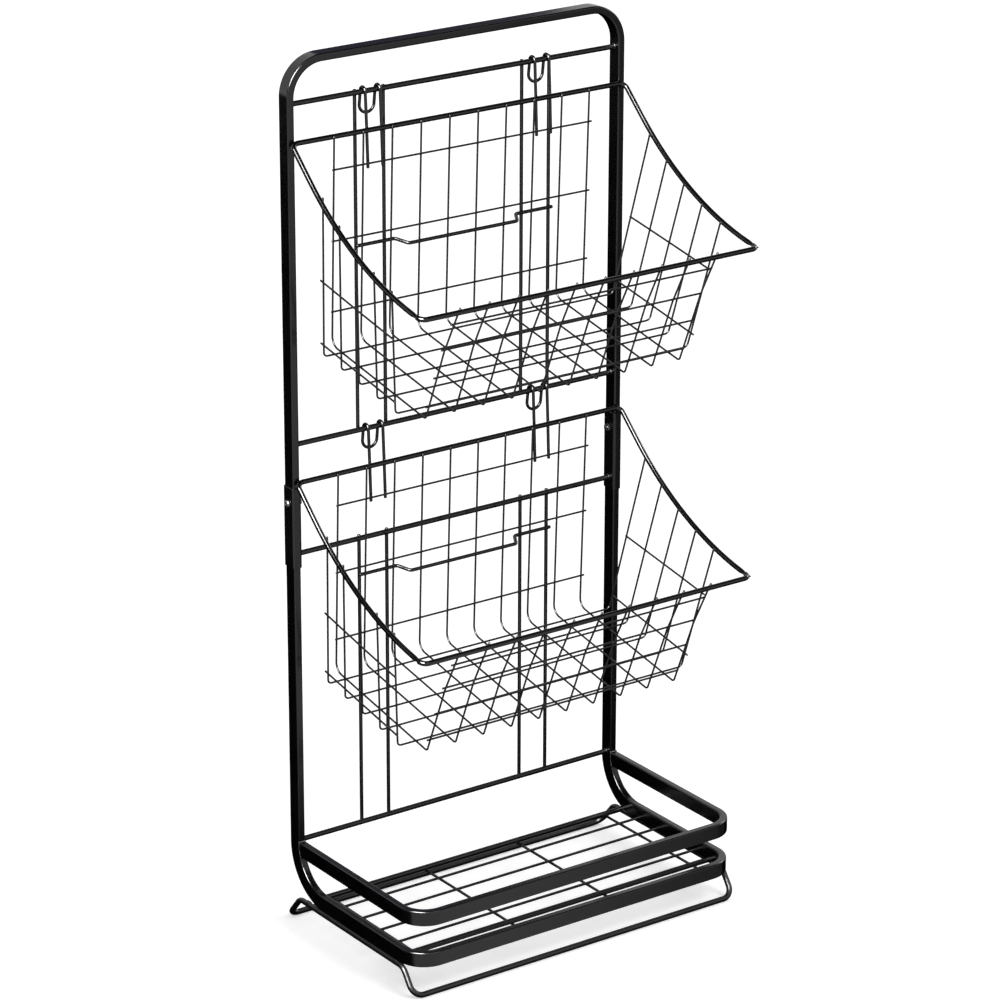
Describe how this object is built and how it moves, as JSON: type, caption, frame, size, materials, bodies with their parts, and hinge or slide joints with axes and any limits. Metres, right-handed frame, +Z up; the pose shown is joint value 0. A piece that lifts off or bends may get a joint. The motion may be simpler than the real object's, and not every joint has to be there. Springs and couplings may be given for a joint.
{
  "type": "storage rack",
  "caption": "Free-standing tiered rack: a tube frame with removable wire baskets hooked on cross bars, guide rods behind them and a railed wire shelf at the base.",
  "frame": {"origin": "on the floor, under the middle of the rack's own box", "axes": "+Z up; +X to the rack's right as seen from the front; -Y towards the front, where the baskets and the base reach out; the uprights stand near the back"},
  "size_m": [0.4092, 0.2492, 0.9074],
  "materials": {
    "tube_black": "satin black powder coat on rounded rectangular steel tube",
    "sleeve": "satin black powder coat on thin joining sleeves",
    "wire_black": "satin black powder coat on bars and round wires",
    "basket_black": "satin black powder coat on welded basket wire",
    "screw": "zinc-plated pan head",
    "nut": "zinc-plated hexagon nut"
  },
  "bodies": {
    "frame": {"upper_hoop": "tube_black", "lower_tube": "tube_black", "guard_rail": "tube_black", "sleeve_left": "sleeve", "sleeve_right": "sleeve", "screw_left": "screw", "screw_right": "screw", "nut_left": "nut", "nut_right": "nut", "hanger_bar_upper": "wire_black", "hanger_bar_lower": "wire_black", "brace_bar_upper": "wire_black", "brace_bar_lower": "wire_black", "rod_upper_left_outer": "wire_black", "rod_upper_left_inner": "wire_black", "rod_upper_right_inner": "wire_black", "rod_upper_right_outer": "wire_black", "rod_lower_left_outer": "wire_black", "rod_lower_left_inner": "wire_black", "rod_lower_right_inner": "wire_black", "rod_lower_right_outer": "wire_black", "shelf_bar_rear": "wire_black", "shelf_bar_front": "wire_black", "shelf_cross_wire_1": "wire_black", "shelf_cross_wire_2": "wire_black", "shelf_cross_wire_3": "wire_black", "shelf_cross_wire_4": "wire_black", "shelf_long_wire_1": "wire_black", "shelf_long_wire_2": "wire_black", "shelf_long_wire_3": "wire_black", "shelf_long_wire_4": "wire_black", "foot_wire": "wire_black"},
    "upper_basket": {"basket_rim_upper": "basket_black", "basket_wires_upper": "basket_black", "basket_standoff_upper": "basket_black", "hook_left_upper": "basket_black", "hook_right_upper": "basket_black"},
    "lower_basket": {"basket_rim_lower": "basket_black", "basket_wires_lower": "basket_black", "basket_standoff_lower": "basket_black", "hook_left_lower": "basket_black", "hook_right_lower": "basket_black"}
  },
  "joints": [
    {"name": "upper_basket_lift", "type": "slide", "parent": "frame", "child": "upper_basket", "axis": [0, 0, 1], "range_m": [0, 0.03]},
    {"name": "lower_basket_lift", "type": "slide", "parent": "frame", "child": "lower_basket", "axis": [0, 0, 1], "range_m": [0, 0.03]}
  ]
}
